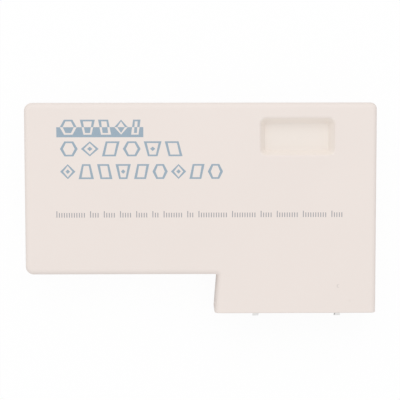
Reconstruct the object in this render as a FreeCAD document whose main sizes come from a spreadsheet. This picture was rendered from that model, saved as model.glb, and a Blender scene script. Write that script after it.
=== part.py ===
import FreeCAD, Part
import math
import os
import re
import Sketcher

# A flat, L-shaped plug-in electronic cartridge in millimetres. It lies on its back: +X to the right,
# +Y away from the plug, +Z out of the printed face. The origin is under the middle of its box.

# Driving dimensions: name, value, meaning
SIZES = (
    ("case_width", 145.0, "case, left to right"),
    ("body_height", 70.8, "wide part of the case, along Y"),
    ("leg_width", 65.6, "plug leg where it leaves the wide part"),
    ("leg_height", 16.1, "plug leg, along Y"),
    ("leg_flare", 1.3, "how much the leg widens towards its mouth"),
    ("back_depth", 9.0, "back shell, along Z"),
    ("front_depth", 11.0, "front shell, along Z"),
    ("wall", 2.2, "wall of both shells"),
    ("left_corner", 3.3, "plan radius of the two left corners"),
    ("right_corner", 2.7, "plan radius of the top right corner"),
    ("notch_corner", 0.6, "plan radius of the inside corner"),
    ("front_round", 2.4, "rounding round the printed face"),
    ("back_break", 1.0, "chamfer round the back"),
    ("mouth_break", 0.3, "chamfer round the mouth"),
    ("rim_break", 0.25, "chamfer along the parting line"),
    ("lip_width", 0.9, "lip of the front shell, across"),
    ("lip_depth", 1.2, "lip of the front shell, along Z"),
    ("lip_clearance", 0.1, "room round the lip"),
    ("grip_width", 30.8, "finger recess, along X"),
    ("grip_height", 15.6, "finger recess, along Y"),
    ("grip_depth", 4.0, "finger recess, along Z"),
    ("grip_from_right", 17.4, "finger recess from the case's right side"),
    ("grip_from_top", 6.2, "finger recess from the case's top side"),
    ("grip_corner", 2.7, "plan radius of the finger recess"),
    ("grip_slope", 30.0, "lean of the recess's walls, degrees"),
    ("grip_foot_round", 0.5, "rounding round the recess's floor"),
    ("grip_rim_break", 0.35, "chamfer round the recess's rim"),
    ("grip_wall", 1.8, "wall round and under the recess"),
    ("boss_inset", 7.5, "screw axis from the outer sides"),
    ("boss_diameter", 6.4, "screw boss of the front shell"),
    ("post_width", 8.2, "eight-sided screw post of the back shell"),
    ("gusset_width", 1.2, "rib that ties a boss to the walls"),
    ("gusset_drop", 2.5, "how far a gusset stops short of the board"),
    ("rib_width", 1.2, "stiffening rib, across"),
    ("rib_depth", 2.0, "stiffening rib, along Z"),
    ("rib_spacing", 24.0, "stiffening ribs, centre to centre"),
    ("first_rib", 14.7, "first stiffening rib from the left side"),
    ("web_width", 1.6, "web across the leg, along Y"),
    ("web_from_mouth", 13.6, "web across the leg, from the mouth"),
    ("web_gap", 0.2, "web from the board"),
    ("screw_diameter", 2.9, "shank of a case screw"),
    ("screw_length", 12.0, "case screw under its head"),
    ("screw_hole", 3.3, "hole for a case screw in the back and the board"),
    ("screw_room", 0.04, "room round a case screw in its boss"),
    ("head_diameter", 5.4, "head of a case screw"),
    ("head_height", 1.9, "head of a case screw"),
    ("head_crown", 0.9, "sloping edge of a screw head"),
    ("head_room", 0.3, "room round a screw head"),
    ("head_seat", 3.0, "plastic between the screw head and the board"),
    ("cross_width", 0.9, "cross recess, one slot across"),
    ("cross_length", 3.0, "cross recess, one slot along"),
    ("cross_depth", 1.1, "cross recess, along Z"),
    ("pilot_spare", 0.7, "pilot hole beyond the screw's tip"),
    ("peg_length", 4.0, "locating peg through the board, along X"),
    ("peg_width", 2.0, "locating peg through the board, along Y"),
    ("peg_shoulder", 1.4, "shoulder of a locating peg, on each side"),
    ("peg_rise", 1.0, "locating peg above the board"),
    ("peg_room", 0.15, "room round a locating peg in the board"),
    ("peg_from_foot", 7.2, "locating pegs from the wide part's lower side"),
    ("left_peg", 41.0, "left locating peg from the left side"),
    ("right_peg", 34.0, "right locating peg from the right side"),
    ("board_thickness", 1.6, "circuit board"),
    ("board_level", 8.0, "underside of the circuit board"),
    ("board_margin", 0.8, "circuit board from the side walls"),
    ("board_corner", 1.0, "plan radius of the board's corners"),
    ("card_inset", 3.0, "card edge from the mouth"),
    ("card_margin", 1.3, "card edge beyond its outer contacts"),
    ("card_side_room", 1.5, "least room from the card edge to the leg's walls"),
    ("card_chamfer", 0.5, "chamfer of the card edge"),
    ("contact_pitch", 2.54, "contacts, centre to centre"),
    ("contact_width", 1.6, "one contact, along X"),
    ("contact_length", 8.5, "one contact, along Y"),
    ("contact_inset", 0.9, "contacts from the card's end"),
    ("contact_thickness", 0.1, "one contact, along Z"),
    ("key_after", 6, "contacts to the left of the key slot"),
    ("key_width", 0.8, "key slot, along X"),
    ("key_length", 8.0, "key slot, along Y"),
    ("strip_thickness", 0.6, "earthing strip"),
    ("strip_width", 42.0, "crossbar of the earthing strip"),
    ("strip_depth", 4.6, "crossbar of the earthing strip, along Y"),
    ("strip_from_mouth", 6.4, "crossbar from the mouth"),
    ("tongue_spacing", 34.0, "the two tongues, centre to centre"),
    ("tongue_width", 2.5, "one tongue, along X"),
    ("tongue_reach", 1.6, "tongues beyond the mouth"),
    ("tongue_curl", 1.5, "radius of a tongue's turned-down tip"),
    ("stake_spacing", 24.0, "moulded stakes of the strip, centre to centre"),
    ("stake_length", 2.4, "moulded stake, along X"),
    ("stake_width", 1.2, "moulded stake, along Y"),
    ("stake_spread", 0.6, "flattened head beyond its stake, on each side"),
    ("stake_head_height", 0.7, "flattened head of a stake"),
    ("stake_room", 0.1, "room round a stake"),
    ("tail_width", 3.0, "tail of the strip that goes to the board"),
    ("tail_pin", 1.0, "soldered pin at the tail's end"),
    ("tail_pin_room", 0.2, "room round the tail's pin in the board"),
    ("tail_reach", 4.5, "tail behind the web"),
    ("tail_room", 0.2, "room round the tail where it passes the web"),
    ("dual_pitch", 2.54, "pins of a drilled chip"),
    ("dual_row", 15.24, "rows of a drilled chip"),
    ("dual_body_width", 13.6, "moulded body of a drilled chip"),
    ("dual_body_length", 35.8, "moulded body of a drilled chip"),
    ("dual_body_height", 3.7, "moulded body of a drilled chip"),
    ("dual_rise", 0.7, "drilled chip above the board"),
    ("dual_half_count", 14, "pins in a row of a drilled chip"),
    ("dual_shoulder", 1.3, "wide part of a pin"),
    ("dual_pin", 0.5, "narrow part of a pin"),
    ("dual_hole", 0.9, "hole for a pin"),
    ("lead_thickness", 0.25, "sheet of the leads"),
    ("pin_reach", 1.2, "pins below the board"),
    ("flat_pitch", 1.27, "leads of a surface chip"),
    ("flat_lead_width", 0.45, "lead of a surface chip"),
    ("flat_body_width", 7.5, "moulded body of a surface chip"),
    ("wide_body_width", 8.4, "moulded body of the wide surface chip"),
    ("flat_reach", 1.4, "leads of a surface chip beyond its body"),
    ("flat_body_height", 2.3, "moulded body of a surface chip"),
    ("flat_rise", 0.2, "surface chip above the board"),
    ("flat_foot", 0.7, "foot of a lead on the board"),
    ("flat_end", 0.7, "moulded body beyond its end leads"),
    ("mould_slope", 8.0, "draft of a chip's sides, degrees"),
    ("pin_one_mark", 1.6, "notch that marks pin one, across"),
    ("pin_one_depth", 0.5, "notch that marks pin one, into the body"),
    ("rom_column", 33.0, "memory chips from the left side"),
    ("rom_a_drop", 19.0, "drilled memory chip from the top side"),
    ("rom_gap", 9.78, "free board between the two memory chips"),
    ("bus_column", 68.0, "bus chips from the left side"),
    ("latch_drop", 16.0, "latch from the top side"),
    ("bus_gap", 4.7, "free board between two bus chips"),
    ("chip_gap", 3.6, "free board between a chip's capacitor and the next piece"),
    ("rom_b_half_count", 14, "leads on one side of the surface memory chip"),
    ("latch_half_count", 10, "leads on one side of the latch"),
    ("buffer_half_count", 10, "leads on one side of the buffer"),
    ("decoder_half_count", 8, "leads on one side of the decoder"),
    ("gate_half_count", 7, "leads on one side of the gate chip"),
    ("ceramic_length", 3.2, "chip capacitor or resistor"),
    ("ceramic_width", 1.6, "chip capacitor or resistor"),
    ("ceramic_end", 0.5, "metal end of a chip part"),
    ("capacitor_height", 1.3, "chip capacitor"),
    ("resistor_height", 0.6, "chip resistor"),
    ("capacitor_gap", 3.4, "chip capacitor from the end of its chip"),
    ("resistor_count", 6, "chip resistors in the row"),
    ("resistor_spacing", 2.9, "chip resistors, centre to centre"),
    ("tank_diameter", 6.3, "supply capacitor"),
    ("tank_height", 6.6, "supply capacitor's can"),
    ("tank_from_right", 17.0, "supply capacitor from the right side"),
    ("tank_drop", 36.0, "supply capacitor from the top side"),
    ("tank_break", 0.5, "turned-over edge of the can"),
    ("tank_bung", 4.4, "rubber bung under the can"),
    ("tank_bung_height", 0.5, "rubber bung under the can"),
    ("tank_lead", 0.5, "wire of the supply capacitor"),
    ("tank_lead_spacing", 2.5, "wires of the supply capacitor"),
    ("tank_lead_hole", 0.8, "hole for a wire"),
)

# Places worked out from the sizes
PLACES = {
    "right_side": "case_width / 2",
    "left_side": "-case_width / 2",
    "top_side": "(body_height + leg_height + tongue_reach) / 2",
    "body_foot": "top_side - body_height",
    "mouth": "body_foot - leg_height",
    "leg_root": "right_side - leg_width",
    "leg_middle": "(leg_root + right_side) / 2",
    "face": "back_depth + front_depth",
    "ceiling": "face - wall",
    "board_top": "board_level + board_thickness",
    "web_near": "mouth + web_from_mouth",
    "card_end": "mouth + card_inset",
    "contact_count": "floor((leg_width - 2 * (wall + card_side_room + card_margin) - contact_width)"
                     " / contact_pitch) + 1",
    "card_half": "((contact_count - 1) * contact_pitch + contact_width) / 2 + card_margin",
    "first_contact": "leg_middle - (contact_count - 1) * contact_pitch / 2",
    "grip_middle_x": "right_side - grip_from_right - grip_width / 2",
    "grip_middle_y": "top_side - grip_from_top - grip_height / 2",
    "grip_lean": "grip_slope * 1deg",
    "grip_spare": "grip_wall / cos(grip_lean) - wall * tan(grip_lean)",
    "strip_near": "mouth + strip_from_mouth",
    "tail_end": "web_near + web_width + tail_reach",
    "rom_a_middle": "top_side - rom_a_drop",
    "rom_b_middle": "rom_a_middle - dual_row / 2 - rom_gap - wide_body_width / 2 - flat_reach",
    "bus_step": "flat_body_width + 2 * flat_reach + bus_gap",
    "latch_middle": "top_side - latch_drop",
    "buffer_middle": "latch_middle - bus_step",
    "decoder_middle": "buffer_middle - bus_step",
    "decoder_half_length": "((decoder_half_count - 1) * flat_pitch + flat_lead_width) / 2 + flat_end",
    "gate_half_length": "((gate_half_count - 1) * flat_pitch + flat_lead_width) / 2 + flat_end",
    "capacitor_reach": "capacitor_gap + ceramic_width / 2",
    "gate_middle": "left_side + bus_column + decoder_half_length + capacitor_reach + chip_gap + gate_half_length",
    "first_resistor": "gate_middle + gate_half_length + capacitor_reach + chip_gap + ceramic_width / 2",
}

# Screws: each one's two coordinates
SCREW_PLACES = (
    ("left_side + boss_inset", "top_side - boss_inset"),
    ("right_side - boss_inset", "top_side - boss_inset"),
    ("left_side + boss_inset", "body_foot + boss_inset"),
    ("right_side - boss_inset", "body_foot + boss_inset"),
)

# The middle of the wall that each screw boss is tied to, along Y
BOSS_WALLS = ("top_side - wall / 2", "top_side - wall / 2", "body_foot + wall / 2", None)

PEG_PLACES = (
    ("left_side + left_peg", "body_foot + peg_from_foot"),
    ("right_side - right_peg", "body_foot + peg_from_foot"),
)

STAKE_PLACES = (
    ("leg_middle - stake_spacing / 2", "strip_near + strip_depth / 2"),
    ("leg_middle + stake_spacing / 2", "strip_near + strip_depth / 2"),
)

# Chips: name, the two coordinates of the middle and the width of the moulded body
DRILLED_CHIPS = (
    ("rom_a", "left_side + rom_column", "rom_a_middle", "dual_body_width"),
)

SURFACE_CHIPS = (
    ("rom_b", "left_side + rom_column", "rom_b_middle", "wide_body_width"),
    ("latch", "left_side + bus_column", "latch_middle", "flat_body_width"),
    ("buffer", "left_side + bus_column", "buffer_middle", "flat_body_width"),
    ("decoder", "left_side + bus_column", "decoder_middle", "flat_body_width"),
    ("gate", "gate_middle", "decoder_middle", "flat_body_width"),
)

doc = FreeCAD.newDocument("plug_in_cartridge")
sheet = doc.addObject("Spreadsheet::Sheet", "sizes")
for row, (alias, size, meaning) in enumerate(SIZES, start=1):
    sheet.set("A%d" % row, meaning)
    sheet.set("B%d" % row, str(size))
    sheet.setAlias("B%d" % row, alias)
doc.recompute()

ALIASES = {alias for alias, size, meaning in SIZES}


def formula(text):
    """Write a formula out in full, down to the cells of the sheet."""
    def spelled(found):
        word = found.group(0)
        if word in PLACES:
            return "(" + formula(PLACES[word]) + ")"
        if word in ALIASES:
            return "sizes." + word
        return word
    return re.sub(r"[a-z_]+[a-z]", spelled, text)


def value(text):
    """The number that a formula gives now."""
    return float(sheet.evalExpression(formula(text)))


def bind(thing, **links):
    """Tie properties of one object to formulas."""
    for name, text in links.items():
        thing.setExpression(name, formula(text))


def new_body(label):
    """Start a sub-part. Some hold several like solids, so a compound is allowed."""
    body = doc.addObject("PartDesign::Body", label)
    body.Label = label
    body.AllowCompound = True
    return body


def base_plane(body, role):
    """One of the body's own planes or axes."""
    return [item for item in body.Origin.OriginFeatures if item.Role == role][0]


def new_sketch(body, name, level="0", role="XY_Plane"):
    """Start a sketch on one of the body's own planes, moved along the plane's normal."""
    sketch = body.newObject("Sketcher::SketchObject", name)
    sketch.AttachmentSupport = [(base_plane(body, role), "")]
    sketch.MapMode = "FlatFace"
    sketch.setExpression("AttachmentOffset.Base.z", formula(level))
    return sketch


def hold_point(sketch, item, end, x, y):
    """Hold one point of a sketch at a place given by two formulas."""
    for kind, text in (("DistanceX", x), ("DistanceY", y)):
        index = sketch.addConstraint(Sketcher.Constraint(kind, -1, 1, item, end, value(text)))
        sketch.setExpression("Constraints[%d]" % index, formula(text))


def draw_circle(sketch, x, y, diameter):
    """Draw a circle whose centre and diameter are formulas."""
    centre = FreeCAD.Vector(value(x), value(y), 0)
    item = sketch.addGeometry(Part.Circle(centre, FreeCAD.Vector(0, 0, 1), value(diameter) / 2))
    hold_point(sketch, item, 3, x, y)
    index = sketch.addConstraint(Sketcher.Constraint("Diameter", item, value(diameter)))
    sketch.setExpression("Constraints[%d]" % index, formula(diameter))


def corner_arc(before, corner, after, radius):
    """The arc that rounds one corner, the two points where it meets the sides, and its turn."""
    to_before = (before - corner).normalize()
    to_after = (after - corner).normalize()
    half_angle = to_before.getAngle(to_after) / 2
    reach = radius / math.tan(half_angle)
    start = corner + to_before * reach
    end = corner + to_after * reach
    centre = corner + (to_before + to_after).normalize() * (radius / math.sin(half_angle))
    turns_left = to_before.cross(to_after).z < 0
    first, last = (start, end) if turns_left else (end, start)
    first_angle = math.atan2(first.y - centre.y, first.x - centre.x)
    last_angle = math.atan2(last.y - centre.y, last.x - centre.x)
    circle = Part.Circle(centre, FreeCAD.Vector(0, 0, 1), radius)
    return Part.ArcOfCircle(circle, first_angle, last_angle), start, end, turns_left


def draw_outline(sketch, corners):
    """Draw a closed outline. A corner is two formulas, and a third one where it is rounded."""
    points = [FreeCAD.Vector(value(corner[0]), value(corner[1]), 0) for corner in corners]
    count = len(points)
    arcs = {}
    for index, corner in enumerate(corners):
        if len(corner) == 3:
            before, after = points[index - 1], points[(index + 1) % count]
            arcs[index] = corner_arc(before, points[index], after, value(corner[2]))
    lines = []
    for index in range(count):
        following = (index + 1) % count
        start = arcs[index][2] if index in arcs else points[index]
        end = arcs[following][1] if following in arcs else points[following]
        lines.append(sketch.addGeometry(Part.LineSegment(start, end)))
    for index, corner in enumerate(corners):
        line_in, line_out = lines[index - 1], lines[index]
        if index not in arcs:
            sketch.addConstraint(Sketcher.Constraint("Coincident", line_in, 2, line_out, 1))
            hold_point(sketch, line_out, 1, corner[0], corner[1])
            continue
        arc, start, end, turns_left = arcs[index]
        item = sketch.addGeometry(arc)
        near_end, far_end = (1, 2) if turns_left else (2, 1)
        sketch.addConstraint(Sketcher.Constraint("Tangent", line_in, 2, item, near_end))
        sketch.addConstraint(Sketcher.Constraint("Tangent", line_out, 1, item, far_end))
        radius = sketch.addConstraint(Sketcher.Constraint("Radius", item, value(corner[2])))
        sketch.setExpression("Constraints[%d]" % radius, formula(corner[2]))
        mark = sketch.addGeometry(Part.Point(points[index]), True)
        sketch.addConstraint(Sketcher.Constraint("PointOnObject", mark, 1, line_in))
        sketch.addConstraint(Sketcher.Constraint("PointOnObject", mark, 1, line_out))
        hold_point(sketch, mark, 1, corner[0], corner[1])


def draw_box(sketch, left, low, right, high, radius=None):
    """Draw an upright rectangle from the formulas of its sides."""
    rounding = () if radius is None else (radius,)
    places = ((left, low), (right, low), (right, high), (left, high))
    draw_outline(sketch, [place + rounding for place in places])


def draw_centred_box(sketch, x, y, width, height, radius=None):
    """Draw an upright rectangle round a middle."""
    left, right = "%s - (%s) / 2" % (x, width), "%s + (%s) / 2" % (x, width)
    low, high = "%s - (%s) / 2" % (y, height), "%s + (%s) / 2" % (y, height)
    draw_box(sketch, left, low, right, high, radius)


def draw_boxes(sketch, places, width, height):
    for x, y in places:
        draw_centred_box(sketch, x, y, width, height)


def draw_flatted(sketch, x, y, across, sides):
    """Draw a round that few faces stand for: a polygon, from its size across the flats."""
    half_turn = math.pi / sides
    corners = []
    for step in range(sides):
        turn = half_turn * (2 * step + 1)
        reach_x = round(math.cos(turn) / math.cos(half_turn) / 2, 6)
        reach_y = round(math.sin(turn) / math.cos(half_turn) / 2, 6)
        corners.append(("%s + (%s) * %f" % (x, across, reach_x), "%s + (%s) * %f" % (y, across, reach_y)))
    draw_outline(sketch, corners)


def raise_from(body, name, sketch, length, down=False, slope=None, middle=False):
    """Add the sketch's area to the body, up or down its normal, or to both sides of it."""
    pad = body.newObject("PartDesign::Pad", name)
    pad.Profile = sketch
    pad.Reversed = down
    if middle:
        pad.SideType = "Symmetric"
    bind(pad, Length=length)
    if slope:
        bind(pad, TaperAngle=slope)
    return pad


def cut_from(body, name, sketch, depth, up=False, slope=None):
    """Cut the sketch's area out of the body, down its normal or up it."""
    pocket = body.newObject("PartDesign::Pocket", name)
    pocket.Profile = sketch
    pocket.Reversed = up
    bind(pocket, Length=depth)
    if slope:
        bind(pocket, TaperAngle=slope)
    return pocket


def repeat(body, name, feature, axis, spacing, count):
    """Repeat one feature along an axis of its sketch."""
    pattern = body.newObject("PartDesign::LinearPattern", name)
    pattern.Originals = [feature]
    pattern.Direction = (feature.Profile[0], [axis])
    pattern.Mode = "Spacing"
    bind(pattern, Offset=spacing, Occurrences=count)
    body.Tip = pattern
    return pattern


def mirror_whole(body, name, role):
    """Mirror all that the body holds so far."""
    doc.recompute()
    mirrored = body.newObject("PartDesign::Mirrored", name)
    mirrored.TransformMode = "Whole shape"
    mirrored.MirrorPlane = (base_plane(body, role), [""])
    body.Tip = mirrored
    return mirrored


def edges_of(feature, wanted):
    """Names of the feature's edges for which the test holds."""
    doc.recompute()
    return ["Edge%d" % number for number, edge in enumerate(feature.Shape.Edges, start=1) if wanted(edge)]


def dress_edges(body, kind, name, feature, wanted, size):
    """Round or chamfer chosen edges of a feature."""
    names = edges_of(feature, wanted)
    if not names:
        raise RuntimeError("no edge found for " + name)
    dressing = body.newObject("PartDesign::" + kind, name)
    dressing.Base = (feature, names)
    if kind == "Fillet":
        bind(dressing, Radius=size)
    else:
        bind(dressing, Size=size)
    doc.recompute()
    return dressing


def edge_level(edge):
    """The height of a level edge, or None where the edge isn't level."""
    box = edge.BoundBox
    return box.ZMin if box.ZLength < 0.001 else None


def near(first, second):
    return abs(first - second) < 0.001


def case_corners(inset, left_radius, right_radius, notch_radius, mouth_extra):
    """The L-shaped outline, moved inwards by a formula and run past the mouth by another.

    A radius of None leaves a corner sharp.
    """
    mouth = "mouth - (%s)" % mouth_extra
    lean = "leg_flare * (1 + (%s) / leg_height)" % mouth_extra
    corners = (
        ("left_side + (%s)" % inset, "body_foot + (%s)" % inset, left_radius),
        ("leg_root + (%s)" % inset, "body_foot + (%s)" % inset, notch_radius),
        ("leg_root - %s + (%s)" % (lean, inset), mouth, None),
        ("right_side - (%s)" % inset, mouth, None),
        ("right_side - (%s)" % inset, "top_side - (%s)" % inset, right_radius),
        ("left_side + (%s)" % inset, "top_side - (%s)" % inset, left_radius),
    )
    return [corner if corner[2] else corner[:2] for corner in corners]


def outer_edges_at(level):
    """A test for the outer edges at one height, without the one across the mouth."""
    height = value(level)
    mouth = value("mouth")
    left, right, top = value("left_side"), value("right_side"), value("top_side")
    foot, root = value("body_foot"), value("leg_root")
    reach = value("left_corner") + 0.01

    def wanted(edge):
        box = edge.BoundBox
        if edge_level(edge) is None or not near(edge_level(edge), height):
            return False
        if near(box.YMin, mouth) and near(box.YMax, mouth):
            return False
        at_sides = box.XMin < left + reach or box.XMax > right - reach or box.YMax > top - reach
        at_foot = near(box.YMin, foot) and box.XMax < root + reach
        at_leg = box.YMax < foot + reach and box.XMax < root + reach
        return at_sides or at_foot or at_leg
    return wanted


def mouth_edges(edge):
    """A test for the outer edges round the mouth."""
    box = edge.BoundBox
    if not (near(box.YMin, value("mouth")) and near(box.YMax, value("mouth"))):
        return False
    inner_left = value("leg_root - leg_flare + wall / 2")
    inner_right = value("right_side - wall / 2")
    upper, lower = value("face - wall / 2"), value("wall / 2")
    at_side = box.XMax < inner_left or box.XMin > inner_right
    return at_side or box.ZMin > upper or box.ZMax < lower


def draw_circles(sketch, places, diameter):
    for x, y in places:
        draw_circle(sketch, x, y, diameter)


def draw_gussets(sketch):
    """A rib from each boss near the wide part's corners to the wall above or below it."""
    for (x, y), wall_y in zip(SCREW_PLACES, BOSS_WALLS):
        if wall_y is None:
            continue
        low, high = sorted((y, wall_y), key=value)
        draw_box(sketch, "%s - gusset_width / 2" % x, low, "%s + gusset_width / 2" % x, high)


def front_case():
    """The printed front shell: shelled L with its lip, recess, bosses, ribs, web and stakes."""
    body = new_body("front_case")
    outline = new_sketch(body, "front_outline", "back_depth")
    draw_outline(outline, case_corners("0", "left_corner", "right_corner", "notch_corner", "0"))
    block = raise_from(body, "front_block", outline, "front_depth")
    rounded = dress_edges(body, "Fillet", "front_rounding", block, outer_edges_at("face"), "front_round")
    broken = dress_edges(body, "Chamfer", "front_mouth_break", rounded, mouth_edges, "mouth_break")
    dress_edges(body, "Chamfer", "front_rim_break", broken, outer_edges_at("back_depth"), "rim_break")

    lip_inset = "wall - lip_width"
    lip = new_sketch(body, "lip_outline", "back_depth")
    lip_corners = case_corners(lip_inset, "left_corner - (%s)" % lip_inset, "right_corner - (%s)" % lip_inset,
                               "notch_corner + (%s)" % lip_inset, "-mouth_break")
    draw_outline(lip, lip_corners)
    raise_from(body, "lip", lip, "lip_depth", down=True)

    hollow = new_sketch(body, "front_hollow_outline", "back_depth - lip_depth")
    draw_outline(hollow, case_corners("wall", None, None, None, "1"))
    cut_from(body, "front_hollow", hollow, "lip_depth + front_depth - wall", up=True)

    housing = new_sketch(body, "grip_housing_outline", "ceiling")
    draw_centred_box(housing, "grip_middle_x", "grip_middle_y", "grip_width + 2 * grip_spare",
                     "grip_height + 2 * grip_spare")
    raise_from(body, "grip_housing", housing, "grip_depth + grip_wall - wall", down=True, slope="-grip_slope")

    bosses = new_sketch(body, "boss_circles", "ceiling")
    draw_circles(bosses, SCREW_PLACES, "boss_diameter")
    raise_from(body, "bosses", bosses, "ceiling - board_top", down=True)
    gussets = new_sketch(body, "gusset_outlines", "ceiling")
    draw_gussets(gussets)
    raise_from(body, "gussets", gussets, "ceiling - board_top - gusset_drop", down=True)

    web = new_sketch(body, "front_web_outline", "ceiling")
    draw_box(web, "leg_root + wall / 2", "web_near", "right_side - wall / 2", "web_near + web_width")
    raise_from(body, "front_web", web, "ceiling - board_top - web_gap", down=True)
    passage = new_sketch(body, "tail_passage_outline", "ceiling")
    draw_box(passage, "leg_middle - tail_width / 2 - tail_room", "web_near - tail_room",
             "leg_middle + tail_width / 2 + tail_room", "web_near + web_width + tail_room")
    cut_from(body, "tail_passage", passage, "strip_thickness + tail_room")

    stakes = new_sketch(body, "stake_outlines", "ceiling")
    draw_boxes(stakes, STAKE_PLACES, "stake_length", "stake_width")
    raise_from(body, "stakes", stakes, "strip_thickness + stake_head_height", down=True)
    heads = new_sketch(body, "stake_head_outlines", "ceiling - strip_thickness")
    draw_boxes(heads, STAKE_PLACES, "stake_length + 2 * stake_spread", "stake_width + 2 * stake_spread")
    raise_from(body, "stake_heads", heads, "stake_head_height", down=True, slope="-mould_slope")

    rib = new_sketch(body, "front_rib_outline", "ceiling")
    draw_box(rib, "left_side + first_rib - rib_width / 2", "body_foot + wall / 2",
             "left_side + first_rib + rib_width / 2", "top_side - wall / 2")
    first_rib = raise_from(body, "front_rib", rib, "rib_depth", down=True)
    repeat(body, "front_ribs", first_rib, "H_Axis", "rib_spacing", "3")

    pilots = new_sketch(body, "pilot_circles", "board_top")
    draw_circles(pilots, SCREW_PLACES, "screw_diameter + 2 * screw_room")
    cut_from(body, "pilots", pilots, "screw_length - head_seat - board_thickness + pilot_spare", up=True)

    grip = new_sketch(body, "grip_outline", "face")
    draw_centred_box(grip, "grip_middle_x", "grip_middle_y", "grip_width", "grip_height", "grip_corner")
    recess = cut_from(body, "grip_recess", grip, "grip_depth", slope="-grip_slope")
    left, right = value("grip_middle_x - grip_width / 2 - 1"), value("grip_middle_x + grip_width / 2 + 1")
    low, high = value("grip_middle_y - grip_height / 2 - 1"), value("grip_middle_y + grip_height / 2 + 1")

    def recess_edges(level):
        height = value(level)

        def wanted(edge):
            box = edge.BoundBox
            within = left < box.XMin and box.XMax < right and low < box.YMin and box.YMax < high
            return within and edge_level(edge) is not None and near(edge_level(edge), height)
        return wanted

    floor = dress_edges(body, "Fillet", "grip_floor_rounding", recess, recess_edges("face - grip_depth"),
                        "grip_foot_round")
    dress_edges(body, "Chamfer", "grip_rim_break", floor, recess_edges("face"), "grip_rim_break")
    return body


def back_case():
    """The plain back shell: screw posts and sunk screw holes, pegs, ribs, web and the lip's rebate."""
    body = new_body("back_case")
    outline = new_sketch(body, "back_outline")
    draw_outline(outline, case_corners("0", "left_corner", "right_corner", "notch_corner", "0"))
    block = raise_from(body, "back_block", outline, "back_depth")
    eased = dress_edges(body, "Chamfer", "back_break", block, outer_edges_at("0"), "back_break")
    broken = dress_edges(body, "Chamfer", "back_mouth_break", eased, mouth_edges, "mouth_break")
    dress_edges(body, "Chamfer", "back_rim_break", broken, outer_edges_at("back_depth"), "rim_break")

    hollow = new_sketch(body, "back_hollow_outline", "back_depth")
    draw_outline(hollow, case_corners("wall", None, None, None, "1"))
    cut_from(body, "back_hollow", hollow, "back_depth - wall")
    rebate_inset = "wall - lip_width - lip_clearance"
    rebate = new_sketch(body, "rebate_outline", "back_depth")
    rebate_corners = case_corners(rebate_inset, "left_corner - (%s)" % rebate_inset,
                                  "right_corner - (%s)" % rebate_inset, "notch_corner + (%s)" % rebate_inset,
                                  "1")
    draw_outline(rebate, rebate_corners)
    cut_from(body, "rebate", rebate, "lip_depth + lip_clearance")

    posts = new_sketch(body, "post_outlines", "wall / 2")
    for x, y in SCREW_PLACES:
        draw_flatted(posts, x, y, "post_width", 8)
    raise_from(body, "posts", posts, "board_level - wall / 2")
    shoulders = new_sketch(body, "shoulder_outlines", "wall / 2")
    draw_boxes(shoulders, PEG_PLACES, "peg_length + 2 * peg_shoulder", "peg_width + 2 * peg_shoulder")
    raise_from(body, "shoulders", shoulders, "board_level - wall / 2")
    pegs = new_sketch(body, "peg_outlines", "board_level")
    draw_boxes(pegs, PEG_PLACES, "peg_length", "peg_width")
    raise_from(body, "pegs", pegs, "board_thickness + peg_rise")

    web = new_sketch(body, "back_web_outline", "wall / 2")
    draw_box(web, "leg_root + wall / 2", "web_near", "right_side - wall / 2", "web_near + web_width")
    raise_from(body, "back_web", web, "board_level - web_gap - wall / 2")

    rib = new_sketch(body, "back_rib_outline", "wall / 2")
    draw_box(rib, "left_side + first_rib - rib_width / 2", "body_foot + wall / 2",
             "left_side + first_rib + rib_width / 2", "top_side - wall / 2")
    first_rib = raise_from(body, "back_rib", rib, "wall / 2 + rib_depth")
    repeat(body, "back_ribs", first_rib, "H_Axis", "rib_spacing", "5")

    axes = new_sketch(body, "screw_hole_circles")
    draw_circles(axes, SCREW_PLACES, "screw_hole")
    doc.recompute()
    holes = body.newObject("PartDesign::Hole", "screw_holes")
    holes.Profile = axes
    holes.Reversed = True
    holes.DepthType = "ThroughAll"
    holes.HoleCutType = "Counterbore"
    bind(holes, Diameter="screw_hole", HoleCutDiameter="head_diameter + 2 * head_room",
         HoleCutDepth="board_level - head_seat")
    return body


def case_screw(number, x, y):
    """One self-tapping pan-head screw with a cross recess, driven in from the back."""
    body = doc.addObject("PartDesign::Body", "screw_%d" % number)
    half_head, half_shank = "head_diameter / 2", "screw_diameter / 2"
    profile = new_sketch(body, "screw_profile_%d" % number, role="XZ_Plane")
    draw_outline(profile, (
        ("0", "-head_height"),
        (half_head + " - head_crown", "-head_height"),
        (half_head, "-head_height + head_crown"),
        (half_head, "0"),
        (half_shank, "0"),
        (half_shank, "screw_length"),
        ("0", "screw_length"),
    ))
    turned = body.newObject("PartDesign::Revolution", "screw_turned_%d" % number)
    turned.Profile = profile
    turned.ReferenceAxis = (profile, ["V_Axis"])
    turned.Angle = 360
    cross = new_sketch(body, "screw_cross_%d" % number, "-head_height")
    draw_centred_box(cross, "0", "0", "cross_length", "cross_width")
    cut_from(body, "screw_slot_%d" % number, cross, "cross_depth", up=True)
    other = new_sketch(body, "screw_other_cross_%d" % number, "-head_height")
    draw_centred_box(other, "0", "0", "cross_width", "cross_length")
    cut_from(body, "screw_other_slot_%d" % number, other, "cross_depth", up=True)
    body.setExpression("Placement.Base.x", formula(x))
    body.setExpression("Placement.Base.y", formula(y))
    body.setExpression("Placement.Base.z", formula("board_level - head_seat"))
    return body


def case_screws():
    """The four like screws, as one sub-part."""
    group = doc.addObject("Part::Compound", "case_screws")
    group.Links = [case_screw(number, x, y) for number, (x, y) in enumerate(SCREW_PLACES, start=1)]
    return group


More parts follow.
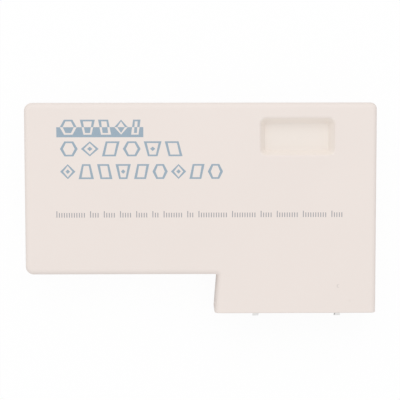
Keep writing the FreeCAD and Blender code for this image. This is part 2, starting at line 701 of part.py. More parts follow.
def circuit_board():
    """The board: an L with its card edge in the leg, all its holes and the key slot."""
    body = new_body("circuit_board")
    inset = "(wall + board_margin)"
    outline = new_sketch(body, "board_outline", "board_level")
    draw_outline(outline, (
        ("left_side + " + inset, "body_foot + " + inset, "board_corner"),
        ("leg_middle - card_half", "body_foot + " + inset, "board_corner"),
        ("leg_middle - card_half", "card_end"),
        ("leg_middle + card_half", "card_end"),
        ("leg_middle + card_half", "body_foot + " + inset, "board_corner"),
        ("right_side - " + inset, "body_foot + " + inset, "board_corner"),
        ("right_side - " + inset, "top_side - " + inset, "board_corner"),
        ("left_side + " + inset, "top_side - " + inset, "board_corner"),
    ))
    plate = raise_from(body, "board_plate", outline, "board_thickness")
    end = value("card_end")

    def card_edges(edge):
        box = edge.BoundBox
        return near(box.YMin, end) and near(box.YMax, end) and edge_level(edge) is not None

    dress_edges(body, "Chamfer", "card_chamfers", plate, card_edges, "card_chamfer")
    key = new_sketch(body, "key_outline", "board_top")
    middle = "first_contact + (key_after - 0.5) * contact_pitch"
    draw_box(key, "%s - key_width / 2" % middle, "card_end - 1", "%s + key_width / 2" % middle,
             "card_end + key_length")
    cut_from(body, "key_slot", key, "board_thickness")
    holes = new_sketch(body, "board_hole_circles", "board_top")
    for x, y in SCREW_PLACES:
        draw_flatted(holes, x, y, "screw_hole", 8)
    draw_boxes(holes, PEG_PLACES, "peg_length + 2 * peg_room", "peg_width + 2 * peg_room")
    draw_centred_box(holes, "leg_middle", "tail_end - strip_thickness / 2", "tail_pin + 2 * tail_pin_room",
                     "strip_thickness + 2 * tail_pin_room")
    for side in ("-", "+"):
        draw_flatted(holes, "right_side - tank_from_right %s tank_lead_spacing / 2" % side,
                     "top_side - tank_drop", "tank_lead_hole", 6)
    cut_from(body, "board_holes", holes, "board_thickness")
    for name, x, y, width in DRILLED_CHIPS:
        for row, side in (("lower", "-"), ("upper", "+")):
            first = new_sketch(body, "%s_%s_hole" % (name, row), "board_top")
            draw_flatted(first, "%s - (dual_half_count - 1) * dual_pitch / 2" % x,
                         "%s %s dual_row / 2" % (y, side), "dual_hole", 6)
            hole = cut_from(body, "%s_%s_drilled" % (name, row), first, "board_thickness")
            repeat(body, "%s_%s_holes" % (name, row), hole, "H_Axis", "dual_pitch", "dual_half_count")
    return body


def card_contacts(label, level, down):
    """One row of gold contacts on one side of the card edge."""
    body = new_body(label)
    first = new_sketch(body, label + "_first", level)
    draw_box(first, "first_contact - contact_width / 2", "card_end + contact_inset",
             "first_contact + contact_width / 2", "card_end + contact_inset + contact_length")
    contact = raise_from(body, label + "_one", first, "contact_thickness", down=down)
    repeat(body, label + "_row", contact, "H_Axis", "contact_pitch", "contact_count")
    return body


def earth_strip():
    """The earthing strip: a staked crossbar, two curled tongues and a tail soldered to the board."""
    body = new_body("earth_strip")
    low = "ceiling - strip_thickness"
    bar = new_sketch(body, "strip_outline", low)
    draw_box(bar, "leg_middle - strip_width / 2", "strip_near", "leg_middle + strip_width / 2",
             "strip_near + strip_depth", "strip_thickness")
    raise_from(body, "strip_bar", bar, "strip_thickness")

    tongue = new_sketch(body, "tongue_profile", "leg_middle - tongue_spacing / 2", "YZ_Plane")
    draw_outline(tongue, (
        ("strip_near + strip_thickness", low),
        ("strip_near + strip_thickness", "ceiling"),
        ("mouth - tongue_reach", "ceiling", "tongue_curl"),
        ("mouth - tongue_reach", "ceiling - tongue_curl - strip_thickness / 2"),
        ("mouth - tongue_reach + strip_thickness", "ceiling - tongue_curl - strip_thickness / 2"),
        ("mouth - tongue_reach + strip_thickness", low, "tongue_curl - strip_thickness"),
    ))
    first = raise_from(body, "first_tongue", tongue, "tongue_width", middle=True)
    pattern = body.newObject("PartDesign::LinearPattern", "tongues")
    pattern.Originals = [first]
    pattern.Direction = (base_plane(body, "X_Axis"), [""])
    pattern.Mode = "Spacing"
    bind(pattern, Offset="tongue_spacing", Occurrences="2")
    body.Tip = pattern

    tail = new_sketch(body, "tail_outline", low)
    draw_box(tail, "leg_middle - tail_width / 2", "strip_near + strip_depth - strip_thickness",
             "leg_middle + tail_width / 2", "tail_end")
    raise_from(body, "tail", tail, "strip_thickness")
    drop = new_sketch(body, "tail_drop_outline", low)
    draw_box(drop, "leg_middle - tail_width / 2", "tail_end - strip_thickness", "leg_middle + tail_width / 2",
             "tail_end")
    raise_from(body, "tail_drop", drop, "ceiling - strip_thickness - board_top", down=True)
    pin = new_sketch(body, "tail_pin_outline", "board_top")
    draw_box(pin, "leg_middle - tail_pin / 2", "tail_end - strip_thickness", "leg_middle + tail_pin / 2",
             "tail_end")
    raise_from(body, "tail_solder_pin", pin, "board_thickness + pin_reach", down=True)
    stakes = new_sketch(body, "strip_hole_outlines", "ceiling")
    draw_boxes(stakes, STAKE_PLACES, "stake_length + 2 * stake_room", "stake_width + 2 * stake_room")
    cut_from(body, "strip_holes", stakes, "strip_thickness")
    return body


def moulded_body(label, length, width, height, rise, x, y):
    """A chip's moulded body: a flat band at mid height, drafted up and down, with its pin-one mark."""
    body = new_body(label)
    band_low = "((%s) + (%s) / 2 - lead_thickness / 2)" % (rise, height)
    band_high = "((%s) + (%s) / 2 + lead_thickness / 2)" % (rise, height)
    half = "((%s) - lead_thickness) / 2" % height
    band = new_sketch(body, label + "_band", band_low)
    draw_centred_box(band, "0", "0", length, width)
    raise_from(body, label + "_middle", band, "lead_thickness")
    upper = new_sketch(body, label + "_upper", band_high)
    draw_centred_box(upper, "0", "0", length, width)
    raise_from(body, label + "_top", upper, half, slope="-mould_slope")
    lower = new_sketch(body, label + "_lower", band_low)
    draw_centred_box(lower, "0", "0", length, width)
    raise_from(body, label + "_foot", lower, half, down=True, slope="-mould_slope")
    mark = new_sketch(body, label + "_mark", "(%s) + (%s)" % (rise, height))
    draw_box(mark, "-(%s) / 2 - pin_one_depth" % length, "-pin_one_mark / 2",
             "-(%s) / 2 + 2 * pin_one_depth" % length, "pin_one_mark / 2")
    cut_from(body, label + "_notch", mark, half)
    place_on_board(body, x, y)
    return body


def place_on_board(thing, x, y):
    """Stand a piece that was modelled round its own middle on the board."""
    thing.setExpression("Placement.Base.x", formula(x))
    thing.setExpression("Placement.Base.y", formula(y))
    thing.setExpression("Placement.Base.z", formula("board_top"))


def drilled_chip(name, x, y, width):
    """A chip with pins in drilled holes: its moulded body and its leads."""
    moulded_body(name + "_body", "dual_body_length", width, "dual_body_height", "dual_rise", x, y)
    body = new_body(name + "_leads")
    first_x = "-(dual_half_count - 1) * dual_pitch / 2"
    root = width + " / 2"
    outer = "dual_row / 2 + lead_thickness / 2"
    inner = "dual_row / 2 - lead_thickness / 2"
    top = "dual_rise + dual_body_height / 2 + lead_thickness / 2"
    under = "dual_rise + dual_body_height / 2 - lead_thickness / 2"
    shoulder = new_sketch(body, name + "_shoulder_profile", first_x, "YZ_Plane")
    draw_outline(shoulder, (
        (inner, "dual_rise"),
        (outer, "dual_rise"),
        (outer, top),
        (root, top),
        (root, under),
        (inner, under),
    ))
    wide = raise_from(body, name + "_shoulder", shoulder, "dual_shoulder", middle=True)
    stem = new_sketch(body, name + "_stem_outline", "dual_rise")
    draw_box(stem, "%s - dual_pin / 2" % first_x, inner, "%s + dual_pin / 2" % first_x, outer)
    narrow = raise_from(body, name + "_stem", stem, "dual_rise + board_thickness + pin_reach", down=True)
    row = body.newObject("PartDesign::LinearPattern", name + "_row")
    row.Originals = [wide, narrow]
    row.Direction = (base_plane(body, "X_Axis"), [""])
    row.Mode = "Spacing"
    bind(row, Offset="dual_pitch", Occurrences="dual_half_count")
    body.Tip = row
    mirror_whole(body, name + "_both_rows", "XZ_Plane")
    place_on_board(body, x, y)


def surface_chip(name, x, y, width):
    """A chip that is soldered to the surface: its moulded body and its bent leads."""
    count = name + "_half_count"
    length = "(%s - 1) * flat_pitch + flat_lead_width + 2 * flat_end" % count
    moulded_body(name + "_body", length, width, "flat_body_height", "flat_rise", x, y)
    body = new_body(name + "_leads")
    root, tip = width + " / 2", width + " / 2 + flat_reach"
    heel = tip + " - flat_foot"
    top = "flat_rise + flat_body_height / 2 + lead_thickness / 2"
    under = "flat_rise + flat_body_height / 2 - lead_thickness / 2"
    profile = new_sketch(body, name + "_lead_profile", "-(%s - 1) * flat_pitch / 2" % count, "YZ_Plane")
    draw_outline(profile, (
        (root, under),
        (heel, "0"),
        (tip, "0"),
        (tip, "lead_thickness"),
        (heel + " + lead_thickness / 2", "lead_thickness"),
        (root, top),
    ))
    lead = raise_from(body, name + "_lead", profile, "flat_lead_width", middle=True)
    row = body.newObject("PartDesign::LinearPattern", name + "_row")
    row.Originals = [lead]
    row.Direction = (base_plane(body, "X_Axis"), [""])
    row.Mode = "Spacing"
    bind(row, Offset="flat_pitch", Occurrences=count)
    body.Tip = row
    mirror_whole(body, name + "_both_rows", "XZ_Plane")
    place_on_board(body, x, y)


def box_at(name, x, y, width, depth, height):
    """A small block that stands on the board, round a place."""
    block = doc.addObject("Part::Box", name)
    bind(block, Length=width, Width=depth, Height=height)
    place_on_board(block, "%s - (%s) / 2" % (x, width), "%s - (%s) / 2" % (y, depth))
    return block


def chip_parts(label, places, height):
    """Like chip parts in two sub-parts: their ceramic blocks and their metal ends."""
    blocks, ends = [], []
    for number, (x, y) in enumerate(places, start=1):
        middle = "ceramic_length - 2 * ceramic_end"
        blocks.append(box_at("%s_%d" % (label, number), x, y, "ceramic_width", middle, height))
        for side, sign in (("low", "-"), ("high", "+")):
            end_y = "%s %s (ceramic_length - ceramic_end) / 2" % (y, sign)
            name = "%s_%s_%d" % (label, side, number)
            ends.append(box_at(name, x, end_y, "ceramic_width", "ceramic_end", height))
    for name, solids in ((label + "s", blocks), (label + "_ends", ends)):
        group = doc.addObject("Part::Compound", name)
        group.Links = solids


def chip_capacitors():
    """One chip capacitor at the end of each chip."""
    places = []
    for name, x, y, width in DRILLED_CHIPS:
        places.append(("%s + dual_body_length / 2 + capacitor_gap" % x, y))
    for name, x, y, width in SURFACE_CHIPS:
        reach = "((%s_half_count - 1) * flat_pitch + flat_lead_width) / 2 + flat_end" % name
        places.append(("%s + %s + capacitor_gap" % (x, reach), y))
    chip_parts("chip_capacitor", places, "capacitor_height")


def chip_resistors():
    """A row of chip resistors to the right of the gate chip."""
    places = []
    for number in range(int(value("resistor_count"))):
        places.append(("first_resistor + %d * resistor_spacing" % number, "decoder_middle"))
    chip_parts("chip_resistor", places, "resistor_height")


def tank_capacitor():
    """The upright supply capacitor: its can, the bung that closes it and its two wires."""
    x, y = "right_side - tank_from_right", "top_side - tank_drop"
    radius = "tank_diameter / 2"
    low, high = "tank_bung_height", "tank_bung_height + tank_height"
    can = new_body("tank_capacitor")
    profile = new_sketch(can, "can_profile", role="XZ_Plane")
    draw_outline(profile, (
        ("0", low),
        (radius, low),
        (radius, high + " - tank_break"),
        (radius + " - tank_break", high),
        ("0", high),
    ))
    turned = can.newObject("PartDesign::Revolution", "can")
    turned.Profile = profile
    turned.ReferenceAxis = (profile, ["V_Axis"])
    turned.Angle = 360
    place_on_board(can, x, y)
    bung = new_body("tank_capacitor_bung")
    bung_outline = new_sketch(bung, "bung_outline")
    draw_flatted(bung_outline, "0", "0", "tank_bung", 8)
    raise_from(bung, "bung", bung_outline, "tank_bung_height")
    wires = new_body("tank_capacitor_leads")
    wire_sections = new_sketch(wires, "wire_sections")
    for side in ("-", "+"):
        draw_flatted(wire_sections, side + "tank_lead_spacing / 2", "0", "tank_lead", 6)
    raise_from(wires, "wires", wire_sections, "board_thickness + pin_reach", down=True)
    place_on_board(bung, x, y)
    place_on_board(wires, x, y)


SUB_PARTS = [
    "front_case", "back_case", "case_screws", "circuit_board", "front_contacts", "back_contacts",
    "earth_strip", "chip_capacitors", "chip_capacitor_ends", "chip_resistors", "chip_resistor_ends",
    "tank_capacitor", "tank_capacitor_bung", "tank_capacitor_leads",
]
for chip in DRILLED_CHIPS + SURFACE_CHIPS:
    SUB_PARTS += [chip[0] + "_body", chip[0] + "_leads"]

front_case()
back_case()
case_screws()
circuit_board()
card_contacts("front_contacts", "board_top", down=False)
card_contacts("back_contacts", "board_level", down=True)
earth_strip()
for chip in DRILLED_CHIPS:
    drilled_chip(*chip)
for chip in SURFACE_CHIPS:
    surface_chip(*chip)
chip_capacitors()
chip_resistors()
tank_capacitor()
doc.recompute()

for item in doc.Objects:
    if "Invalid" in item.State or "Error" in item.State:
        raise RuntimeError("%s failed: %s" % (item.Name, item.State))
os.makedirs("parts", exist_ok=True)
for label in SUB_PARTS:
    shape = doc.getObjectsByLabel(label)[0].Shape
    if shape.isNull() or not shape.isValid():
        raise RuntimeError("%s has no valid shape" % label)
for label in SUB_PARTS:
    shape = doc.getObjectsByLabel(label)[0].Shape
    shape.exportStep("parts/%s.step" % label)
    print("%-22s solids %2d, volume %9.1f" % (label, len(shape.Solids), shape.Volume))
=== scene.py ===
"""Looks for a plug-in electronic cartridge: shells, print, screws, circuit board and earthing strip."""
import math

import bmesh
import bpy
from bpy.props import FloatProperty, FloatVectorProperty, PointerProperty
from mathutils import Euler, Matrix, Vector


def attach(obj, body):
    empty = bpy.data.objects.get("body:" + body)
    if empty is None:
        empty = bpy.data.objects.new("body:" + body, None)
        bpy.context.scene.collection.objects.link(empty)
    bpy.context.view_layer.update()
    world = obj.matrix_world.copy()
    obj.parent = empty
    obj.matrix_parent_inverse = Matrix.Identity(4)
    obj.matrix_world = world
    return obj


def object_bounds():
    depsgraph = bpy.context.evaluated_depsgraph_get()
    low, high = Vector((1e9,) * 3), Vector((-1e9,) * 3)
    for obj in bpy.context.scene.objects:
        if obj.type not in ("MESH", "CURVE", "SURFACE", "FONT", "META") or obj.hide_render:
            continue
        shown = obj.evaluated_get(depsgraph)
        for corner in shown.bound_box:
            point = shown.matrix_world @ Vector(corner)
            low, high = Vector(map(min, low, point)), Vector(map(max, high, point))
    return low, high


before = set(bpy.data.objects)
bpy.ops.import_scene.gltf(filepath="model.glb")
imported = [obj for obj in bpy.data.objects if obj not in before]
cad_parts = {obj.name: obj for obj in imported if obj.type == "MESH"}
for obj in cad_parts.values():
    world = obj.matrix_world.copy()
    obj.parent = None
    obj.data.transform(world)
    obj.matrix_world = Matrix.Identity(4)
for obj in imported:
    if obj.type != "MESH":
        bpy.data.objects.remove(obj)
CAD_BOX = [list(corner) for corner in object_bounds()]
FACE_LEVEL = CAD_BOX[1][2]

bl_info = {
    "name": "Plug-in Cartridge",
    "version": (1, 0, 0),
    "blender": (4, 5, 0),
    "location": "View3D > Sidebar > Cartridge",
    "description": "Finishes and print for a plug-in electronic cartridge, piece by piece",
    "category": "Object",
}


# Kinds of values that a user can change

def length(name, description, default):
    return FloatProperty(name=name, description=description, default=default, unit="LENGTH", precision=5)


def angle(name, description, degrees):
    return FloatProperty(name=name, description=description, default=math.radians(degrees), unit="ROTATION")


def amount(name, description, default):
    return FloatProperty(name=name, description=description, default=default)


def share(name, description, default):
    return FloatProperty(name=name, description=description, default=default, subtype="FACTOR", min=0, max=1)


def colour(name, description, default):
    return FloatVectorProperty(name=name, description=description, default=default, subtype="COLOR",
                               min=0, max=1)


def position(name, description, default):
    return FloatVectorProperty(name=name, description=description, default=default, subtype="XYZ",
                               unit="LENGTH", precision=5)


class CartridgeFinishes(bpy.types.PropertyGroup):
    """Colours of the cartridge's materials and of the painted light in the finger recess, and the places and
    sizes of the marks of wear, of the painted shadow on one tongue and of the painted light.
    """
    ivory: colour("Ivory", "Moulded plastic of both shells", (0.847, 0.768, 0.723))
    shell_roughness: share("Shell roughness", "Roughness of the moulded shells", 0.55)
    grain: length("Grain", "Size of the fine grain on the shells", 0.0005)
    nick: position("Nick", "Middle of the small curved nick on the face", (0.0568, -0.0314, FACE_LEVEL))
    nick_radius: length("Nick radius", "Outer radius of the curved nick", 0.0009)
    nick_shift: length("Nick shift", "From the nick's middle to that of its clean inside, along X", 0.00035)
    nick_inside: length("Nick inside", "Radius of the nick's clean inside", 0.00075)
    scuff: position("Scuff", "Middle of the faint scuff on the face", (0.0616, -0.0376, FACE_LEVEL))
    # Painted shadow: a dark spot painted on one tongue of the earthing strip where shade falls
    painted_shadow: position("Painted shadow", "Middle of the painted shadow, a dark spot on one tongue", (0.0552, -0.0434, FACE_LEVEL - 0.0024))
    mark_radius: length("Mark radius", "Radius of the scuff and of the painted shadow", 0.0008)
    # Painted light: the finger recess is painted lighter than the ivory to offset the shade in it. The next
    # values set where this painted light lies and fades.
    recess_painted_light: colour("Recess painted light", "Painted light on the plastic in the finger recess", (0.867, 0.799, 0.743))
    recess_from_right: length("Recess from right", "From the case's right side to the finger recess", 0.0174)
    recess_from_top: length("Recess from top", "From the case's upper side to the finger recess", 0.0062)
    recess_width: length("Recess width", "Finger recess along X", 0.0308)
    recess_height: length("Recess height", "Finger recess along Y", 0.0156)
    recess_edge: length("Recess edge", "Over what width the recess's painted light fades at its rim", 0.0006)
    recess_reach: length("Recess reach", "How far below the face the recess's painted light ends", 0.0045)
    recess_fade: length("Recess fade", "Over what height the recess's painted light fades at its lower end", 0.0001)
    ink: colour("Ink", "Blue-grey ink of the large print", (0.330, 0.422, 0.502))
    rule_ink: colour("Rule ink", "Grey ink of the small ticked rule", (0.38, 0.37, 0.39))
    nickel: colour("Nickel", "Plating of the earthing strip", (0.84, 0.83, 0.82))
    zinc: colour("Zinc", "Plating of the case screws", (0.55, 0.55, 0.56))
    mask: colour("Solder mask", "Green lacquer of the circuit board", (0.03, 0.14, 0.06))
    gold: colour("Gold", "Plating of the edge contacts", (0.85, 0.62, 0.22))
    tin: colour("Tin", "Plating of the leads", (0.66, 0.66, 0.67))
    moulding: colour("Chip moulding", "Epoxy of the chips", (0.025, 0.025, 0.027))
    ceramic: colour("Ceramic", "Bodies of the chip capacitors", (0.36, 0.24, 0.15))
    glaze: colour("Glaze", "Bodies of the chip resistors", (0.03, 0.03, 0.035))
    sleeve: colour("Sleeve", "Sleeve of the supply capacitor", (0.03, 0.05, 0.12))
    rubber: colour("Rubber", "Bung of the supply capacitor", (0.02, 0.02, 0.02))


class CartridgePrint(bpy.types.PropertyGroup):
    """Places and sizes of the print on the face, from the middle of the cartridge's box."""
    film: length("Ink film", "Height of the ink above the face", 0.000012)
    left: length("Left edge", "Left edge of the outlined shapes", -0.0576)
    band_left: length("Band left", "Left end of the blue band", -0.0590)
    band_right: length("Band right", "Right end of the blue band", -0.0235)
    band_shapes_right: length("Band shapes' end", "Right edge of the shapes on the band", -0.0246)
    band_top: length("Band top", "Upper side of the blue band", 0.0342)
    band_foot: length("Band foot", "Lower side of the blue band", 0.0301)
    shape_height: length("Shape height", "Height of the large shapes", 0.0061)
    second_row: length("Second row", "Middle of the second row", 0.02535)
    second_right: length("Second row's end", "Right edge of the second row", -0.0075)
    third_row: length("Third row", "Middle of the third row", 0.01605)
    third_right: length("Third row's end", "Right edge of the third row", 0.0091)
    upright_stroke: length("Upright stroke", "Width of the outlines' upright strokes", 0.0012)
    level_stroke: length("Level stroke", "Width of the outlines' level strokes", 0.00068)
    rule_left: length("Rule left", "Left end of the ticked rule", -0.0593)
    rule_right: length("Rule right", "Right end of the ticked rule", 0.0582)
    rule_foot: length("Rule foot", "Lower side of the ticked rule", -0.0028)
    tick_height: length("Tick height", "Height of one tick of the rule", 0.0019)
    tall_tick: length("Tall tick", "Height of the first tick of a group", 0.0026)
    tick_width: length("Tick width", "Width of one tick of the rule", 0.00038)
    group_gap: amount("Group gap", "Step from one group of ticks to the next, in ticks", 2.5)


class CartridgeStage(bpy.types.PropertyGroup):
    """Camera, lamps and floor."""
    aim_x: length("Aim, across", "Where the camera looks on the face, along X", -0.00037)
    aim_y: length("Aim, up", "Where the camera looks on the face, along Y", 0.00432)
    distance: length("Distance", "Camera from the face", 0.3696)
    tilt: angle("Tilt", "Camera turned about X", -3.16)
    lean: angle("Lean", "Camera turned about Y", -0.53)
    roll: angle("Roll", "Camera turned about Z", -0.1)
    lens: FloatProperty(name="Lens", description="Focal length", default=81.0, unit="CAMERA")
    ambient: amount("Surrounding light", "Strength of the even light from all round", 1.05)
    side_dim: share("Side dim", "How much weaker the even light is at the far left and right", 0.33)
    side_fall: share("Side fall", "How much weaker the even light is on the right than on the left", 0.02)
    key: amount("Key light", "Strength of the soft lamp at the top side", 1.9)
    key_place: position("Key place", "Middle of the soft lamp", (-0.15, 0.75, 0.75))
    key_width: length("Key width", "Soft lamp, across", 1.2)
    key_height: length("Key height", "Soft lamp, up", 0.6)
    paper: share("Paper", "Whiteness of the floor where it takes a shadow", 0.95)
    paper_glow: share("Paper glow", "Share of the floor's white that doesn't take a shadow", 0.94)
    bounce: share("Bounce", "Light that the floor throws back at the cartridge", 0.6)
    floor_size: length("Floor", "Side of the square floor", 6.0)
    floor_gap: length("Floor gap", "From the floor to the cartridge", 0.0001)


def finishes():
    return bpy.context.scene.cartridge_finishes


def printing():
    return bpy.context.scene.cartridge_print


def staging():
    return bpy.context.scene.cartridge_stage


# Node trees

WHITE = (1.0, 1.0, 1.0)


class Wiring:
    """Adds the nodes of one tree and joins them."""

    def __init__(self, tree):
        self.tree = tree
        tree.nodes.clear()

    def add(self, kind, **settings):
        node = self.tree.nodes.new(kind)
        for name, setting in settings.items():
            setattr(node, name, setting)
        return node

    def give(self, socket, given):
        """Set a socket to a value, or join another node's output to it."""
        if isinstance(given, bpy.types.NodeSocket):
            self.tree.links.new(given, socket)
        else:
            socket.default_value = given

    def work_out(self, operation, *values):
        """One step of arithmetic. Each value is a number or another node's output."""
        node = self.add("ShaderNodeMath", operation=operation)
        for socket, given in zip(node.inputs, values):
            self.give(socket, given)
        return node.outputs[0]

    def split(self, place):
        """The X, Y and Z of a place."""
        parts = self.add("ShaderNodeSeparateXYZ")
        self.give(parts.inputs[0], place)
        return parts.outputs

    def plain(self, kind, tone, strength=None):
        """A plain shader of one colour and, where it gives light, of one strength."""
        node = self.add(kind)
        self.give(node.inputs["Color"], (*tone, 1.0))
        if strength is not None:
            self.give(node.inputs["Strength"], strength)
        return node.outputs[0]

    def mixed_shaders(self, factor, first, second):
        node = self.add("ShaderNodeMixShader")
        for socket, given in zip(node.inputs, (factor, first, second)):
            self.give(socket, given)
        return node.outputs[0]

    def seen_rays(self):
        """1 for rays that show a thing straight, in gloss or through glass, and 0 for the others."""
        path = self.add("ShaderNodeLightPath").outputs
        shown = self.work_out("MAXIMUM", path["Is Camera Ray"], path["Is Glossy Ray"])
        return self.work_out("MAXIMUM", shown, path["Is Transmission Ray"])


# Materials

# Cloudy noise lies mostly between these two values
NOISE_LOW, NOISE_HIGH = 0.3, 0.7
# Reflection of matt plastic and of ink, where 0.5 is that of plain plastic
MATT_REFLECTION = 0.35
# How close the threads of the board's woven glass lie, and how much they wander
WEAVE_SCALE, WEAVE_WANDER = 500.0, 0.4


class Surface(Wiring):
    """A material that is built up step by step on one shader."""

    def __init__(self, name, roughness, metallic=0.0, reflection=0.5):
        self.material = bpy.data.materials.new(name)
        self.material.use_nodes = True
        super().__init__(self.material.node_tree)
        self.shader = self.add("ShaderNodeBsdfPrincipled")
        for socket, number in (("Metallic", metallic), ("Roughness", roughness),
                               ("Specular IOR Level", reflection)):
            self.give(self.shader.inputs[socket], number)
        output = self.add("ShaderNodeOutputMaterial")
        self.give(output.inputs["Surface"], self.shader.outputs[0])
        self.place = self.add("ShaderNodeTexCoord").outputs["Object"]

    def stretched(self, x, y, z):
        """The place on the surface, stretched along the axes, such as for brushed metal."""
        mapping = self.add("ShaderNodeMapping")
        self.give(mapping.inputs["Scale"], (x, y, z))
        self.give(mapping.inputs["Vector"], self.place)
        return mapping.outputs[0]

    def noise(self, size, detail=2.0, place=None):
        """Cloudy noise whose clouds are about as large as the size in metres."""
        node = self.add("ShaderNodeTexNoise")
        self.give(node.inputs["Scale"], 1.0 / size)
        self.give(node.inputs["Detail"], detail)
        self.give(node.inputs["Vector"], place or self.place)
        return node.outputs["Fac"]

    def ranged(self, source, low, high, to_low, to_high):
        """Spread one part of a value's range over another range."""
        node = self.add("ShaderNodeMapRange")
        for socket, given in zip(node.inputs, (source, low, high, to_low, to_high)):
            self.give(socket, given)
        return node.outputs[0]

    def between(self, noise, low, high):
        """Let cloudy noise go from one value to another."""
        return self.ranged(noise, NOISE_LOW, NOISE_HIGH, low, high)

    def mixed(self, factor, first, second):
        """Mix two colours by a value. Each is a colour or another node's output."""
        node = self.add("ShaderNodeMix", data_type="RGBA")
        self.give(node.inputs["Factor"], factor)
        for socket, given in ((node.inputs[6], first), (node.inputs[7], second)):
            self.give(socket, given if isinstance(given, bpy.types.NodeSocket) else (*given, 1.0))
        return node.outputs[2]

    def paint(self, source):
        self.give(self.shader.inputs["Base Color"], source)

    def vary_roughness(self, source):
        self.give(self.shader.inputs["Roughness"], source)

    def bump(self, source, height):
        """Raise the surface by up to the height in metres."""
        node = self.add("ShaderNodeBump")
        self.give(node.inputs["Strength"], 1.0)
        self.give(node.inputs["Distance"], height)
        self.give(node.inputs["Height"], source)
        self.give(self.shader.inputs["Normal"], node.outputs[0])

    def inside(self, middle, size, softness):
        """1 inside an upright rectangle seen from the face and 0 outside it."""
        from_middle = self.add("ShaderNodeVectorMath", operation="SUBTRACT")
        self.give(from_middle.inputs[0], self.place)
        self.give(from_middle.inputs[1], (*middle, 0))
        off = self.add("ShaderNodeVectorMath", operation="ABSOLUTE")
        self.give(off.inputs[0], from_middle.outputs[0])
        across, up = [self.ranged(distance, side / 2 - softness, side / 2, 1.0, 0.0)
                      for distance, side in zip(self.split(off.outputs[0]), size)]
        return self.work_out("MULTIPLY", across, up)

    def spot(self, centre, radius, softness):
        """1 inside a small round place on the surface and 0 outside it, with a soft share of its radius."""
        distance = self.add("ShaderNodeVectorMath", operation="DISTANCE")
        self.give(distance.inputs[0], self.place)
        self.give(distance.inputs[1], centre)
        return self.ranged(distance.outputs["Value"], radius * (1 - softness), radius, 1.0, 0.0)


def toned(base, factor):
    """A colour made darker by a factor below 1, or lighter by one above it."""
    return tuple(channel * factor for channel in base)


def moulded_ivory():
    """Fine matt ivory plastic with a slight mottle, painted light that makes the finger recess lighter
    against its shade, and two marks of wear.
    """
    look = finishes()
    surface = Surface("Moulded Ivory Plastic", look.shell_roughness, reflection=MATT_REFLECTION)
    mottle = surface.between(surface.noise(size=0.03, detail=3.0), 0.0, 1.0)
    base = surface.mixed(mottle, toned(look.ivory, 0.993), toned(look.ivory, 1.005))
    # Only the peaks of the noise show, as a few darker specks
    speck = surface.ranged(surface.noise(size=0.0011, detail=1.0), 0.78, 0.86, 0.0, 0.35)
    base = surface.mixed(speck, base, toned(look.ivory, 0.86))
    base = worn(surface, base)
    # Painted light: the finger recess is painted in a lighter colour to offset the shade in it
    surface.paint(surface.mixed(in_recess(surface), base, look.recess_painted_light))
    grain = surface.noise(look.grain)
    surface.vary_roughness(surface.between(grain, look.shell_roughness - 0.06, look.shell_roughness + 0.06))
    surface.bump(grain, height=0.000012)
    return surface.material


def worn(surface, base):
    """The ivory with a curved nick, which is a dark spot with a clean one over it, and a faint scuff."""
    look = finishes()
    nick = surface.spot(look.nick, look.nick_radius, softness=0.35)
    clean_middle = look.nick + Vector((look.nick_shift, 0, 0))
    clean = surface.spot(clean_middle, look.nick_inside, softness=0.35)
    base = surface.mixed(nick, base, toned(look.ivory, 0.85))
    base = surface.mixed(clean, base, look.ivory)
    # The scuff covers the ivory by half at most
    scuff = surface.ranged(surface.spot(look.scuff, look.mark_radius, softness=0.9), 0.0, 1.0, 0.0, 0.5)
    return surface.mixed(scuff, base, toned(look.ivory, 0.92))


def in_recess(surface):
    """1 in the finger recess, where the shells get painted light, and 0 elsewhere on the shells."""
    look = finishes()
    middle = (CAD_BOX[1][0] - look.recess_from_right - look.recess_width / 2,
              CAD_BOX[1][1] - look.recess_from_top - look.recess_height / 2)
    across = surface.inside(middle, (look.recess_width, look.recess_height), look.recess_edge)
    lowest = FACE_LEVEL - look.recess_reach
    above = surface.ranged(surface.split(surface.place)["Z"], lowest, lowest + look.recess_fade, 0.0, 1.0)
    return surface.work_out("MULTIPLY", across, above)


def printed_ink(name, base):
    """A thin, slightly uneven ink film."""
    surface = Surface(name, roughness=0.5, reflection=MATT_REFLECTION)
    cover = surface.ranged(surface.noise(size=0.0004, detail=3.0), 0.35, 0.65, 0.0, 1.0)
    surface.paint(surface.mixed(cover, toned(base, 0.94), toned(base, 1.06)))
    surface.vary_roughness(surface.ranged(cover, 0.0, 1.0, 0.45, 0.58))
    surface.bump(surface.noise(size=0.0003), height=0.000004)
    return surface.material


def plated_metal(name, base, roughness, stretch, painted_shadow=None):
    """Plated metal with fine rolling or drawing lines, a slight tarnish and, where given, a painted shadow: a
    dark spot.
    """
    surface = Surface(name, roughness, metallic=1.0)
    tarnish = surface.ranged(surface.noise(size=0.004, detail=4.0), 0.35, 0.75, 0.0, 1.0)
    tone = surface.mixed(tarnish, base, toned(base, 0.86))
    # Painted shadow: a dark spot painted on the metal where shade falls
    if painted_shadow:
        painted_shadow_mask = surface.spot(painted_shadow, finishes().mark_radius, softness=0.6)
        tone = surface.mixed(painted_shadow_mask, tone, toned(base, 0.25))
    surface.paint(tone)
    lines = surface.noise(size=0.0006, place=surface.stretched(*stretch))
    surface.vary_roughness(surface.between(lines, roughness - 0.08, roughness + 0.1))
    surface.bump(lines, height=0.000006)
    return surface.material


def moulded_dark(name, base, roughness, grain):
    """Dark moulded epoxy, glaze or rubber with a fine grain."""
    surface = Surface(name, roughness)
    clouds = surface.between(surface.noise(grain * 12, detail=3.0), 0.0, 1.0)
    surface.paint(surface.mixed(clouds, toned(base, 0.85), toned(base, 1.25)))
    fine = surface.noise(grain)
    surface.vary_roughness(surface.between(fine, roughness - 0.08, roughness + 0.08))
    surface.bump(fine, height=0.00001)
    return surface.material


